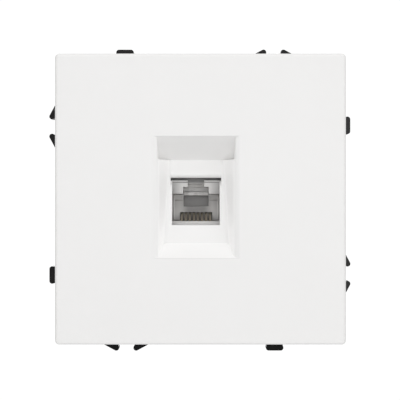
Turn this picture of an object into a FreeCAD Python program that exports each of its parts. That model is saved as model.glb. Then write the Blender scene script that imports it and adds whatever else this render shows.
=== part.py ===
import FreeCAD, Part
import math
import os

import Sketcher
from FreeCAD import Placement, Rotation, Vector

# Flush data outlet insert: a square white centre plate with a sloping recess, the black carrier
# behind it with its spring fingers and stops, a steel support plate that lies on the wall, and the
# eight-way socket module with its circuit board and insulation-displacement terminals.
#
# Frame: the wall is the plane Y = 0, the front faces -Y, +X is right and +Z is up, in millimetres.

# Driving sizes: the word is the cell's alias, then its value and what it measures
SIZES = [
    ("front_reach", 11.0, "front face of the cover in front of the wall"),
    ("wall_spacing", 60.0, "spacing of the wall screws"),
    ("cover_margin", 5.0, "cover outside the wall screws"),
    ("cover_depth", 4.0, "depth of the cover's rim"),
    ("cover_face", 2.0, "thickness of the cover's face"),
    ("cover_rim", 1.6, "wall of the cover's rim"),
    ("cover_corner", 1.0, "radius of the cover's corners"),
    ("cover_edge", 0.55, "radius of the cover's front edge"),
    ("recess_x", -1.0, "middle of the recess across"),
    ("recess_z", 0.42, "middle of the recess upwards"),
    ("recess_width", 18.55, "mouth of the recess across"),
    ("recess_height", 29.5, "mouth of the recess upwards"),
    ("ceiling_depth", 8.0, "depth of the recess floor at the ceiling"),
    ("sill_depth", 4.0, "depth of the recess floor at the sill"),
    ("ceiling_slope", 0.695, "drop of the ceiling per millimetre of depth"),
    ("sill_slope", 0.913, "rise of the sill per millimetre of depth"),
    ("side_slope", 0.337, "draw-in of the side walls per millimetre of depth"),
    ("pocket_margin", 0.15, "pocket under the ceiling beyond the mouth at each side"),
    ("pocket_draft", 0.03, "draw-in of that pocket's sides per millimetre of depth"),
    ("recess_wall", 1.4, "wall of the recess"),
    ("recess_bend", 1.3, "radius where the side walls meet the recess floor"),
    ("recess_lip", 2.0, "radius of the recess mouth at its sides"),
    ("window_width", 11.67, "window in the recess floor across"),
    ("window_height", 11.56, "window in the recess floor upwards"),
    ("window_z", -0.555, "middle of the window upwards"),
    ("window_bend", 0.9, "radius along the top edge of the window"),
    ("ear_width", 0.40, "relief beside each top corner of the window"),
    ("ear_height", 1.1, "height of that relief"),
    ("leg_x", 22.0, "snap legs from the middle, across"),
    ("leg_room", 5.7, "middle of a snap leg above or below the module's flange"),
    ("leg_width", 5.0, "width of a snap leg"),
    ("leg_wall", 1.2, "thickness of a snap leg"),
    ("leg_hook", 0.6, "catch of a snap leg"),
    ("leg_end", 0.4, "end of a snap leg in front of the wall"),
    ("leg_play", 0.3, "room round a snap leg in its slot"),
    ("carrier_x", -0.145, "carrier from the middle of the cover, across"),
    ("carrier_z", -0.26, "carrier from the middle of the cover, upwards"),
    ("carrier_inset", 0.7, "carrier inside the cover's edge"),
    ("carrier_base", 2.0, "thickness of the carrier's base"),
    ("carrier_wall", 1.8, "thickness of the carrier's rim"),
    ("carrier_corner", 1.2, "radius of the carrier's corners"),
    ("catch_stand", 2.38, "stops and fingers past the carrier's edge"),
    ("catch_gap", 0.5, "stops and fingers behind the cover's rim"),
    ("catch_height", 3.0, "stops and fingers, front to back"),
    ("stop_place", 18.25, "middle of a stop along its side"),
    ("stop_width", 4.3, "greatest width of a stop"),
    ("pair_place", 17.95, "middle of a finger pair along its side"),
    ("pair_gap", 3.5, "gap between the two fingers of a pair"),
    ("finger_run", 5.3, "length of a finger along the side"),
    ("finger_wall", 1.5, "thickness of a finger at its root"),
    ("finger_tip", 0.68, "radius of the tips of fingers and stops"),
    ("screw_access", 9.0, "width of the opening over a wall screw"),
    ("screw_web", 0.8, "web outside the opening over a wall screw"),
    ("plate_inset", 0.5, "support plate inside the carrier's edge"),
    ("plate_thick", 1.0, "thickness of the support plate"),
    ("plate_corner", 5.0, "radius of the support plate's corners"),
    ("wall_slot_width", 3.6, "width of a wall screw slot"),
    ("wall_slot_length", 6.0, "end to end length of a wall screw slot"),
    ("jack_x", -1.12, "middle of the socket module across"),
    ("jack_gap", 1.2, "face of the socket behind the deepest part of the recess floor"),
    ("jack_wall", 1.5, "side walls of the socket shell"),
    ("jack_base", 1.7, "bottom wall of the socket shell"),
    ("jack_roof", 1.45, "top wall of the socket shell over the latch well"),
    ("jack_step", 3.0, "length of the low front part of the shell"),
    ("socket_width", 11.8, "plug opening across"),
    ("socket_height", 6.76, "plug opening upwards"),
    ("socket_floor", -5.48, "floor of the plug opening"),
    ("socket_depth", 11.5, "plug opening from the face to the comb"),
    ("notch_width", 6.35, "wide part of the latch notch across"),
    ("notch_height", 1.73, "wide part of the latch notch upwards"),
    ("key_width", 4.06, "narrow part of the latch notch across"),
    ("key_height", 1.55, "narrow part of the latch notch upwards"),
    ("key_step", 0.77, "drop of the notch's roof behind the low front part"),
    ("well_end", 2.0, "shell left behind the latch notch"),
    ("groove_height", 0.22, "groove in the shell above the comb's bar"),
    ("ridge_height", 0.2, "ridge along the top of the shell's face"),
    ("ridge_stand", 0.15, "that ridge in front of the face"),
    ("lead_in", 0.5, "bevel at the front of the plug opening's floor"),
    ("peg_radius", 1.0, "locating pegs of the shell"),
    ("contact_pitch", 1.016, "spacing of the eight contacts"),
    ("contact_width", 0.46, "width of a contact"),
    ("contact_thick", 0.3, "thickness of a contact"),
    ("contact_play", 0.06, "room on each side of a contact in its channel"),
    ("contact_front", 1.9, "front bend of a contact behind the shell's face"),
    ("contact_bend", 0.22, "inner radius of the front bend"),
    ("contact_rise", 2.35, "rise of a contact's free end over the floor"),
    ("contact_tail", 0.8, "contact tail behind the board"),
    ("channel_depth", 1.1, "depth of a contact channel below the floor"),
    ("comb_play", 0.1, "room round the comb in the shell"),
    ("comb_length", 3.8, "length of the comb"),
    ("comb_margin", 0.1, "opening of the comb beyond the row of contacts"),
    ("comb_drop", 0.3, "that opening's height below the contacts' rise"),
    ("comb_brow", 0.7, "upper band of the comb standing proud"),
    ("comb_brow_height", 1.33, "height of that band"),
    ("comb_pocket_height", 2.95, "dark pocket behind the latch notch, upwards"),
    ("comb_pocket_depth", 2.6, "depth of that pocket"),
    ("comb_bar_height", 0.82, "bar over that pocket"),
    ("rib_play", 0.068, "room between a contact and the ribs of the comb"),
    ("board_side_room", 8.9, "circuit board beyond each side of the shell"),
    ("board_end_room", 6.1, "circuit board beyond each end of the terminal blocks"),
    ("board_thick", 1.6, "thickness of the circuit board"),
    ("board_play", 0.1, "room round the circuit board in the housing"),
    ("lead_play", 0.1, "room round contact and blade tails in the board"),
    ("peg_play", 0.1, "room round a locating peg in the board"),
    ("housing_wall", 1.6, "walls of the module housing"),
    ("bulkhead_depth", 2.8, "bulkhead behind the shell's face"),
    ("bulkhead", 1.6, "thickness of the bulkhead"),
    ("flange_side", 5.0, "flange beside the module housing"),
    ("flange_end", 1.3, "flange above and below the module housing"),
    ("flange_thick", 1.4, "thickness of the flange"),
    ("housing_play", 0.2, "room round the housing in carrier and plate"),
    ("jack_play", 0.1, "room round the shell in the bulkhead"),
    ("board_screw_inset", 3.1, "board screws inside the board's side edges"),
    ("screw_radius", 1.25, "radius of all small screws"),
    ("screw_play", 0.05, "room round a screw in the plate it grips"),
    ("screw_pass", 0.25, "room round a screw in a part it passes"),
    ("screw_head", 2.2, "radius of a screw head"),
    ("screw_head_height", 1.4, "height of a screw head"),
    ("frame_screw_length", 4.9, "shank of a frame screw"),
    ("board_screw_length", 6.0, "shank of a board screw"),
    ("boss_wall", 0.6, "wall of the bosses round the board screws"),
    ("terminal_width", 6.6, "terminal block across"),
    ("terminal_rim", 1.2, "terminal block beyond its wire slots"),
    ("terminal_depth", 10.8, "terminal block front to back"),
    ("terminal_pitch", 3.3, "spacing of the wire slots"),
    ("wire_slot", 1.0, "width of a wire slot"),
    ("wire_slot_depth", 7.2, "depth of a wire slot"),
    ("tooth_bevel", 0.9, "lead-in of the teeth between wire slots"),
    ("blade_width", 2.5, "width of a terminal blade"),
    ("blade_thick", 0.5, "thickness of a terminal blade"),
    ("blade_play", 0.08, "room round a blade in its block"),
    ("blade_slit", 0.4, "slit of a terminal blade"),
    ("blade_slit_depth", 5.0, "depth of that slit"),
    ("blade_sink", 1.6, "blade below the mouth of its block"),
    ("blade_tail", 0.5, "width of a blade's tail"),
    ("blade_tail_end", 0.7, "blade tail in front of the board"),
]


class Size:
    """A length of the model together with the sheet expression that gives it."""

    def __init__(self, value, text):
        self.value = float(value)
        self.text = text

    def __add__(self, other):
        other = size_of(other)
        return Size(self.value + other.value, f"({self.text} + {other.text})")

    def __sub__(self, other):
        other = size_of(other)
        return Size(self.value - other.value, f"({self.text} - {other.text})")

    def __mul__(self, other):
        other = size_of(other)
        return Size(self.value * other.value, f"({self.text} * {other.text})")

    def __truediv__(self, other):
        other = size_of(other)
        return Size(self.value / other.value, f"({self.text} / {other.text})")

    def __neg__(self):
        return Size(-self.value, f"(0 - {self.text})")


def size_of(item):
    """Take a plain number as a size too."""
    return item if isinstance(item, Size) else Size(item, repr(float(item)))


class Words:
    """The driving sizes by name."""


def make_sheet(document):
    """Write the driving sizes into the sheet and return them by name."""
    sheet = document.addObject("Spreadsheet::Sheet", "sizes")
    for row, (name, value, meaning) in enumerate(SIZES, start=1):
        sheet.set(f"A{row}", name)
        sheet.set(f"B{row}", str(value))
        sheet.set(f"C{row}", meaning)
        sheet.setAlias(f"B{row}", name)
    document.recompute()
    words = Words()
    for name, _, _ in SIZES:
        setattr(words, name, Size(sheet.get(name), f"sizes.{name}"))
    return words


doc = FreeCAD.newDocument("data_outlet_insert")
s = make_sheet(doc)

# Places that several parts share, worked out from the driving sizes
CONTACTS = 8
TERMINALS = 4
ZERO = size_of(0)
COVER_HALF = s.wall_spacing / 2 + s.cover_margin
CARRIER_HALF = COVER_HALF - s.carrier_inset
CATCH_REACH = CARRIER_HALF + s.catch_stand
PLATE_HALF = CARRIER_HALF - s.plate_inset
FACE_Y = -s.front_reach
RIM_Y = FACE_Y + s.cover_depth
BASE_Y = -s.plate_thick - s.carrier_base
FLANGE_Y = BASE_Y - s.flange_thick
JACK_Y = FACE_Y + s.ceiling_depth + s.jack_gap
COMB_Y = JACK_Y + s.socket_depth
BOARD_Y = COMB_Y + s.comb_length
BOARD_BACK_Y = BOARD_Y + s.board_thick
SOCKET_TOP = s.socket_floor + s.socket_height
NOTCH_TOP = SOCKET_TOP + s.notch_height
SHELL_TOP = NOTCH_TOP + s.key_height
ROOF_TOP = SHELL_TOP + s.jack_roof
SHELL_BOTTOM = s.socket_floor - s.jack_base
SHELL_HALF = s.socket_width / 2 + s.jack_wall
CHANNEL_Z = s.socket_floor - s.channel_depth
PEG_X = SHELL_HALF * 0.57
PEG_Z = (SOCKET_TOP + ROOF_TOP) / 2
TERMINAL_X = SHELL_HALF + s.board_side_room * 0.36
TERMINAL_HALF = s.terminal_pitch * (TERMINALS / 2) + s.terminal_rim / 2
BOARD_HALF_X = SHELL_HALF + s.board_side_room
BOARD_HALF_Z = TERMINAL_HALF + s.board_end_room
BOARD_SCREW_X = BOARD_HALF_X - s.board_screw_inset
BOARD_SCREW_Z = TERMINAL_HALF + s.board_end_room / 2
HOUSING_HALF_X = BOARD_HALF_X + s.board_play + s.housing_wall
HOUSING_HALF_Z = BOARD_HALF_Z + s.board_play + s.housing_wall
FLANGE_HALF_X = HOUSING_HALF_X + s.flange_side
FLANGE_HALF_Z = HOUSING_HALF_Z + s.flange_end
FRAME_SCREW_X = HOUSING_HALF_X + s.flange_side * 0.54
LEG_Z = FLANGE_HALF_Z + s.leg_room
RECESS_TOP = s.recess_z + s.recess_height / 2
RECESS_BOTTOM = s.recess_z - s.recess_height / 2
CORNERS = [(x, z) for x in (1, -1) for z in (1, -1)]
SIDES = (1, -1)


# Sketches and features

def plane_of(body, role):
    """Find one of a body's own origin planes or axes."""
    return next(item for item in body.Origin.OriginFeatures if item.Role == role)


def new_body(name):
    """Start a sub-part with its own origin."""
    body = doc.addObject("PartDesign::Body", name)
    body.Label = name
    return body


def bind(item, prop, size):
    """Tie a property to its sheet expression."""
    item.setExpression(prop, size.text)


def set_sketch_place(sketch, body, role, level):
    """Lay a sketch on an origin plane, moved to its level along the plane's axis."""
    sign = -1 if role == "XZ_Plane" else 1
    sketch.AttachmentSupport = [(plane_of(body, role), "")]
    sketch.MapMode = "FlatFace"
    sketch.AttachmentOffset = Placement(Vector(0, 0, sign * level.value), Rotation())
    bind(sketch, "AttachmentOffset.Base.z", level * sign)


def pin_point(sketch, geometry, position, place):
    """Hold a sketch point at a place measured from the sketch's origin."""
    for kind, size in zip(("DistanceX", "DistanceY"), place):
        index = sketch.addConstraint(
            Sketcher.Constraint(kind, -1, 1, geometry, position, size.value)
        )
        bind(sketch, f"Constraints[{index}]", size)


def corner_cut(before, corner, after, radius):
    """Return the two tangent points and the middle of the arc that rounds a corner."""
    to_before = (before - corner).normalize()
    to_after = (after - corner).normalize()
    half = math.acos(max(-1.0, min(1.0, to_before.dot(to_after)))) / 2
    reach = radius / math.tan(half)
    middle = corner + (to_before + to_after).normalize() * (radius / math.sin(half))
    return corner + to_before * reach, corner + to_after * reach, middle


def draw_outline(sketch, corners):
    """Draw one closed outline; a corner is (x, y) or (x, y, radius)."""
    spots = [Vector(size_of(c[0]).value, size_of(c[1]).value, 0) for c in corners]
    count = len(corners)
    starts, ends, arcs = {}, {}, {}
    for i, corner in enumerate(corners):
        starts[i] = ends[i] = spots[i]
        if len(corner) == 3:
            cut = corner_cut(
                spots[i - 1], spots[i], spots[(i + 1) % count], size_of(corner[2]).value
            )
            ends[i], starts[i], arcs[i] = cut
    lines = [
        sketch.addGeometry(Part.LineSegment(starts[i], ends[(i + 1) % count]), False)
        for i in range(count)
    ]
    for i, corner in enumerate(corners):
        before, after = lines[i - 1], lines[i]
        place = (size_of(corner[0]), size_of(corner[1]))
        if i not in arcs:
            sketch.addConstraint(Sketcher.Constraint("Coincident", before, 2, after, 1))
            pin_point(sketch, after, 1, place)
            continue
        round_corner(sketch, before, after, (ends[i], starts[i], arcs[i]), corner, place)


def round_corner(sketch, before, after, cut, corner, place):
    """Join two sketch lines by a tangent arc whose virtual corner is held in place."""
    entry, leave, middle = cut
    radius = size_of(corner[2])
    first = math.atan2(entry.y - middle.y, entry.x - middle.x)
    second = math.atan2(leave.y - middle.y, leave.x - middle.x)
    turns_left = (second - first) % (2 * math.pi) < math.pi
    circle = Part.Circle(middle, Vector(0, 0, 1), radius.value)
    low, high = (first, second) if turns_left else (second, first)
    arc = sketch.addGeometry(Part.ArcOfCircle(circle, low, high), False)
    entry_end, leave_end = (1, 2) if turns_left else (2, 1)
    spot = sketch.addGeometry(
        Part.Point(Vector(place[0].value, place[1].value, 0)), True
    )
    pin_point(sketch, spot, 1, place)
    sketch.addConstraint(Sketcher.Constraint("PointOnObject", spot, 1, before))
    sketch.addConstraint(Sketcher.Constraint("PointOnObject", spot, 1, after))
    sketch.addConstraint(Sketcher.Constraint("Tangent", before, 2, arc, entry_end))
    sketch.addConstraint(Sketcher.Constraint("Tangent", arc, leave_end, after, 1))
    index = sketch.addConstraint(Sketcher.Constraint("Radius", arc, radius.value))
    bind(sketch, f"Constraints[{index}]", radius)


def draw_circle(sketch, x, y, radius):
    """Draw one circle."""
    middle = Vector(size_of(x).value, size_of(y).value, 0)
    ring = sketch.addGeometry(
        Part.Circle(middle, Vector(0, 0, 1), size_of(radius).value), False
    )
    pin_point(sketch, ring, 3, (size_of(x), size_of(y)))
    index = sketch.addConstraint(
        Sketcher.Constraint("Radius", ring, size_of(radius).value)
    )
    bind(sketch, f"Constraints[{index}]", size_of(radius))


def box_corners(x, y, half_x, half_y, radius=None):
    """Corners of a rectangle about (x, y), rounded where a radius is given."""
    x, y, half_x, half_y = (size_of(item) for item in (x, y, half_x, half_y))
    corners = [
        (x - half_x, y - half_y),
        (x + half_x, y - half_y),
        (x + half_x, y + half_y),
        (x - half_x, y + half_y),
    ]
    return corners if radius is None else [corner + (radius,) for corner in corners]


def new_sketch(body, name, role, level, outlines=(), circles=()):
    """Sketch outlines and circles on a body's origin plane at a level."""
    sketch = body.newObject("Sketcher::SketchObject", name)
    set_sketch_place(sketch, body, role, size_of(level))
    for corners in outlines:
        draw_outline(sketch, corners)
    for circle in circles:
        draw_circle(sketch, *circle)
    return sketch


def pad(body, name, sketch, length, positive):
    """Raise a sketch; positive means along the positive axis of its plane."""
    feature = body.newObject("PartDesign::Pad", name)
    feature.Profile = sketch
    feature.Length = size_of(length).value
    bind(feature, "Length", size_of(length))
    along_normal = positive != (sketch.AttachmentSupport[0][0].Role == "XZ_Plane")
    feature.Reversed = not along_normal
    doc.recompute()
    return feature


def pocket(body, name, sketch, length, positive):
    """Cut a sketch away; positive means along the positive axis of its plane."""
    before = body.Shape.Volume
    feature = body.newObject("PartDesign::Pocket", name)
    feature.Profile = sketch
    feature.Length = size_of(length).value
    bind(feature, "Length", size_of(length))
    along_normal = positive != (sketch.AttachmentSupport[0][0].Role == "XZ_Plane")
    feature.Reversed = along_normal
    doc.recompute()
    if not body.Shape.Volume < before:
        raise ValueError(f"{body.Label}: {name} cuts nothing")
    return feature


def slab(body, name, outlines, start, end, circles=()):
    """Raise outlines of the XZ plane from one depth to another."""
    sketch = new_sketch(body, f"{name}_sketch", "XZ_Plane", start, outlines, circles)
    return pad(body, name, sketch, size_of(end) - start, True)


def hole(body, name, outlines, start, end, circles=()):
    """Cut outlines of the XZ plane from one depth to another."""
    sketch = new_sketch(body, f"{name}_sketch", "XZ_Plane", start, outlines, circles)
    return pocket(body, name, sketch, size_of(end) - start, True)


def repeat_round(body, name, features):
    """Repeat features at the four sides, about the body's Y axis."""
    pattern = body.newObject("PartDesign::PolarPattern", name)
    pattern.Originals = features
    pattern.Axis = (plane_of(body, "Y_Axis"), [""])
    pattern.Angle = 360
    pattern.Occurrences = 4
    body.Tip = pattern
    doc.recompute()
    return pattern


def repeat_along(body, name, features, role, step, count):
    """Repeat features in a row along an origin axis."""
    pattern = body.newObject("PartDesign::LinearPattern", name)
    pattern.Originals = features
    pattern.Direction = (plane_of(body, role), [""])
    span = step * (count - 1)
    pattern.Length = span.value
    bind(pattern, "Length", span)
    pattern.Occurrences = count
    body.Tip = pattern
    doc.recompute()
    return pattern


def edges_where(shape, test):
    """Names of the edges that pass a test of their two ends."""
    names = []
    for index, edge in enumerate(shape.Edges, start=1):
        points = [vertex.Point for vertex in edge.Vertexes]
        if test(points[0], points[-1]):
            names.append(f"Edge{index}")
    return names


def is_near(first, second):
    """Compare two coordinates."""
    return abs(first - second) < 1e-4


def fillet(body, name, radius, test):
    """Round the edges that pass a test."""
    base = body.Tip
    names = edges_where(base.Shape, test)
    if not names:
        raise ValueError(f"{body.Label}: {name} finds no edge")
    feature = body.newObject("PartDesign::Fillet", name)
    feature.Base = (base, names)
    feature.Radius = radius.value
    bind(feature, "Radius", radius)
    doc.recompute()
    return feature


def extrude(name, outline, role, middle, length):
    """Raise a free outline both ways from a level, as a tool for a boolean."""
    turns = {"YZ": Rotation(Vector(1, 1, 1), 120), "XY": Rotation()}
    axes = {"YZ": Vector(1, 0, 0), "XY": Vector(0, 0, 1)}
    sketch = doc.addObject("Sketcher::SketchObject", f"{name}_sketch")
    sketch.Placement = Placement(axes[role] * middle.value, turns[role])
    bind(sketch, "Placement.Base.x" if role == "YZ" else "Placement.Base.z", middle)
    draw_outline(sketch, outline)
    solid = doc.addObject("Part::Extrusion", name)
    solid.Base = sketch
    solid.DirMode = "Normal"
    solid.Symmetric = True
    solid.Solid = True
    solid.LengthFwd = length.value
    bind(solid, "LengthFwd", length)
    return solid


def boolean(kind, name, base, tool):
    """Combine two solids."""
    item = doc.addObject(kind, name)
    item.Base = base
    item.Tool = tool
    doc.recompute()
    return item


def move(item, x=None, y=None, z=None):
    """Place a sub-part, with each given coordinate tied to the sheet."""
    places = {"x": x, "y": y, "z": z}
    spot = {key: size_of(place or 0) for key, place in places.items()}
    item.Placement = Placement(Vector(*(spot[key].value for key in "xyz")), Rotation())
    for key, place in places.items():
        if place is not None:
            bind(item, f"Placement.Base.{key}", size_of(place))


# Cover: a hollow square plate whose recess slopes in to the socket window

def crossed_prisms(name, side_view, top_view):
    """The common part of a side view carried across and a top view carried upwards."""
    sides = extrude(f"{name}_side", side_view, "YZ", s.recess_x, s.recess_width * 3)
    ends = extrude(f"{name}_top", top_view, "XY", s.recess_z, s.recess_height * 3)
    return boolean("Part::Common", name, sides, ends)


def narrowing_view(half, slope, start, end):
    """Top view of a space that draws in on both sides from one depth to another."""
    near, far = half - slope * start, half - slope * end
    return [
        (s.recess_x - near, FACE_Y + start),
        (s.recess_x + near, FACE_Y + start),
        (s.recess_x + far, FACE_Y + end),
        (s.recess_x - far, FACE_Y + end),
    ]


def recess_prism(name, wall):
    """The space between the sloping side walls, or with a wall its outside."""
    deep = s.ceiling_depth + wall
    shallow = s.sill_depth + wall
    side_view = [
        (FACE_Y, RECESS_TOP + wall),
        (FACE_Y, RECESS_BOTTOM - wall),
        (FACE_Y + shallow, RECESS_BOTTOM - wall + s.sill_slope * shallow),
        (FACE_Y + deep, RECESS_TOP + wall - s.ceiling_slope * deep),
    ]
    reach = deep + s.ceiling_depth - s.sill_depth
    top_view = narrowing_view(s.recess_width / 2 + wall, s.side_slope, ZERO, reach)
    return crossed_prisms(name, side_view, top_view)


def pocket_prism(name, wall, front):
    """The straight-sided pocket between the ceiling and the level of its foot, or its outside."""
    foot = RECESS_TOP - s.ceiling_slope * s.ceiling_depth
    tip = s.ceiling_depth + wall * 2 / s.ceiling_slope
    side_view = [
        (FACE_Y - front, RECESS_TOP + wall + s.ceiling_slope * front),
        (FACE_Y - front, foot - wall),
        (FACE_Y + tip, foot - wall),
    ]
    half = s.recess_width / 2 + s.pocket_margin + wall
    top_view = narrowing_view(half, s.pocket_draft, -front, s.ceiling_depth + s.recess_wall)
    return crossed_prisms(name, side_view, top_view)


def window_bend_tool(top, half):
    """What rounds the recess floor into the top edge of the window."""
    foot = RECESS_TOP - s.ceiling_slope * s.ceiling_depth
    sill_foot = RECESS_BOTTOM + s.sill_slope * s.sill_depth
    lean = (s.ceiling_depth - s.sill_depth) / (foot - sill_foot)
    edge = FACE_Y + s.ceiling_depth - lean * (foot - top)
    run = s.window_bend * 2
    side_view = [
        (edge + lean * run, top + run),
        (edge, top, s.window_bend),
        (ZERO, top),
        (ZERO, top - run),
        (edge - run, top - run),
        (edge - run, top + run),
    ]
    return extrude("window_bend", side_view, "YZ", s.jack_x, half * 2)


def rounded(name, base, radius, test):
    """Round edges of a boolean's result."""
    item = doc.addObject("Part::Fillet", name)
    item.Base = base
    names = edges_where(base.Shape, test)
    item.Edges = [(int(edge[4:]), radius, radius) for edge in names]
    doc.recompute()
    return item


def cover_plate():
    """The plate with its rim, stiffening ribs and four snap legs, before the recess is cut."""
    body = new_body("cover_plate")
    half = COVER_HALF
    inner = half - s.cover_rim
    slab(
        body, "block",
        [box_corners(0, 0, half, half, s.cover_corner)],
        FACE_Y, RIM_Y,
    )
    front = FACE_Y.value
    fillet(
        body, "front_edge", s.cover_edge,
        lambda a, b: is_near(a.y, front) and is_near(b.y, front),
    )
    hole(
        body, "hollow",
        [box_corners(0, 0, inner, inner)],
        FACE_Y + s.cover_face, RIM_Y,
    )
    back = FACE_Y + s.cover_face
    rib_half = s.leg_wall / 2
    rib_z = LEG_Z + s.leg_width
    slab(
        body, "ribs",
        [box_corners(0, rib_z * side, inner, rib_half) for side in SIDES],
        back, back + s.leg_wall,
    )
    leg_half = s.leg_width / 2
    legs = [
        box_corners(s.leg_x * x, LEG_Z * z, s.leg_wall / 2, leg_half) for x, z in CORNERS
    ]
    slab(body, "legs", legs, back, -s.leg_end)
    catch_half = (s.leg_wall + s.leg_hook) / 2
    hook_x = s.leg_x + s.leg_hook / 2
    hooks = [box_corners(hook_x * x, LEG_Z * z, catch_half, leg_half) for x, z in CORNERS]
    hook_y = -s.plate_thick + s.leg_play / 3
    slab(body, "hooks", hooks, hook_y, -s.leg_end)
    return body


def make_front_cover():
    """Join the recess walls to the plate, cut the recess and its window, and soften the lips."""
    walls = boolean(
        "Part::Fuse", "cover_walls",
        recess_prism("recess_walls", s.recess_wall),
        pocket_prism("pocket_walls", s.recess_wall, ZERO),
    )
    space = recess_prism("recess_space", ZERO)
    floor_low = FACE_Y.value + s.sill_depth.value
    soft_space = rounded(
        "recess_soft_space", space, s.recess_bend.value,
        lambda a, b: min(a.y, b.y) > floor_low - 1e-4 and abs(a.z - b.z) > s.window_height.value,
    )
    blank = boolean("Part::Fuse", "cover_blank", cover_plate(), walls)
    hollowed = boolean("Part::Cut", "cover_hollowed", blank, soft_space)
    tool = new_body("window_tool")
    half_x = s.window_width / 2
    top = s.window_z + s.window_height / 2
    bottom = s.window_z - s.window_height / 2
    ear = half_x + s.ear_width
    left_ear, right_ear = s.jack_x - ear, s.jack_x + ear
    left, right = s.jack_x - half_x, s.jack_x + half_x
    outline = [
        (left, bottom),
        (right, bottom),
        (right, top - s.ear_height),
        (right_ear, top - s.ear_height),
        (right_ear, top),
        (left_ear, top),
        (left_ear, top - s.ear_height),
        (left, top - s.ear_height),
    ]
    slab(tool, "window", [outline], FACE_Y, ZERO)
    pierced = boolean("Part::Cut", "cover_pierced", hollowed, tool)
    bent = boolean("Part::Cut", "cover_bent", pierced, window_bend_tool(top, ear))
    mouth = FACE_Y.value
    lip_length = s.recess_height.value / 2
    lipped = rounded(
        "cover_lipped", bent, s.recess_lip.value,
        lambda a, b: is_near(a.y, mouth)
        and is_near(b.y, mouth)
        and is_near(a.x, b.x)
        and abs(a.z - b.z) > lip_length
        and abs(a.x) < s.recess_width.value,
    )
    pocket_space = pocket_prism("pocket_space", ZERO, s.recess_lip)
    cover = boolean("Part::Cut", "front_cover", lipped, pocket_space)
    cover.Label = "front_cover"
    return cover


# Carrier: the black frame with a stop and a pair of spring fingers on each side

def finger_outline(hand):
    """A spring finger of the top side: it leaves the rim and slopes out to a round tip."""
    inner = s.pair_place + s.pair_gap / 2 * hand
    root = inner + s.finger_run * hand
    tip = s.finger_tip
    return [
        (root, CARRIER_HALF - s.carrier_wall),
        (root, CARRIER_HALF),
        (inner - tip * 1.55 * hand, CATCH_REACH + tip * 1.55, tip),
        (inner + tip * 1.55 * hand, CARRIER_HALF - tip / 2),
    ]


def make_carrier_frame():
    """Base, rim, four stops, four finger pairs, and the openings for module, legs and screws."""
    body = new_body("carrier_frame")
    half = CARRIER_HALF
    inner = half - s.carrier_wall
    base_front = BASE_Y
    slab(
        body, "base",
        [box_corners(0, 0, half, half, s.carrier_corner)],
        base_front, -s.plate_thick,
    )
    slab(
        body, "rim",
        [
            box_corners(0, 0, half, half, s.carrier_corner),
            box_corners(0, 0, inner, inner),
        ],
        RIM_Y, base_front,
    )
    catch_start = RIM_Y + s.catch_gap
    catch_end = catch_start + s.catch_height
    bay_half = s.pair_gap / 2 + s.finger_run
    bay_depth = s.finger_wall + s.finger_tip * 2
    bay = hole(
        body, "finger_bay",
        [box_corners(s.pair_place, half - bay_depth / 2 + s.finger_tip,
                     bay_half, bay_depth / 2 + s.finger_tip)],
        RIM_Y, -s.plate_thick,
    )
    access_inner = s.wall_spacing / 2 - s.screw_access / 2
    access_outer = half - s.screw_web
    access = hole(
        body, "screw_access_bay",
        [box_corners(0, (access_inner + access_outer) / 2, s.screw_access / 2,
                     (access_outer - access_inner) / 2)],
        RIM_Y, -s.plate_thick,
    )
    stop_half = s.stop_width / 2
    tip = s.finger_tip
    stop = slab(
        body, "stop",
        [[
            (-s.stop_place - stop_half + tip * 1.3, inner + tip),
            (-s.stop_place + stop_half - tip * 1.3, inner + tip),
            (-s.stop_place + stop_half + tip * 0.35, CATCH_REACH, tip),
            (-s.stop_place - stop_half - tip * 0.35, CATCH_REACH, tip),
        ]],
        catch_start, catch_end,
    )
    fingers = [
        slab(body, f"finger_{name}", [finger_outline(hand)], catch_start, catch_end)
        for name, hand in (("near", -1), ("far", 1))
    ]
    repeat_round(body, "four_sides", [bay, access, stop] + fingers)
    opening_x = s.jack_x - s.carrier_x
    hole(
        body, "module_opening",
        [box_corners(opening_x, -s.carrier_z, HOUSING_HALF_X + s.housing_play,
                     HOUSING_HALF_Z + s.housing_play)],
        base_front, -s.plate_thick,
        [
            (opening_x + FRAME_SCREW_X * side, -s.carrier_z, s.screw_radius + s.screw_pass)
            for side in SIDES
        ],
    )
    slot_wide = s.leg_wall / 2 + s.leg_hook / 2 + s.leg_play
    hole(
        body, "leg_slots",
        [
            box_corners((s.leg_x + s.leg_hook / 2) * x - s.carrier_x, LEG_Z * z - s.carrier_z,
                        slot_wide, s.leg_width / 2 + s.leg_play)
            for x, z in CORNERS
        ],
        base_front, -s.plate_thick,
    )
    move(body, x=s.carrier_x, z=s.carrier_z)
    return body


# Support plate: pressed steel with slots for the wall screws

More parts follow.
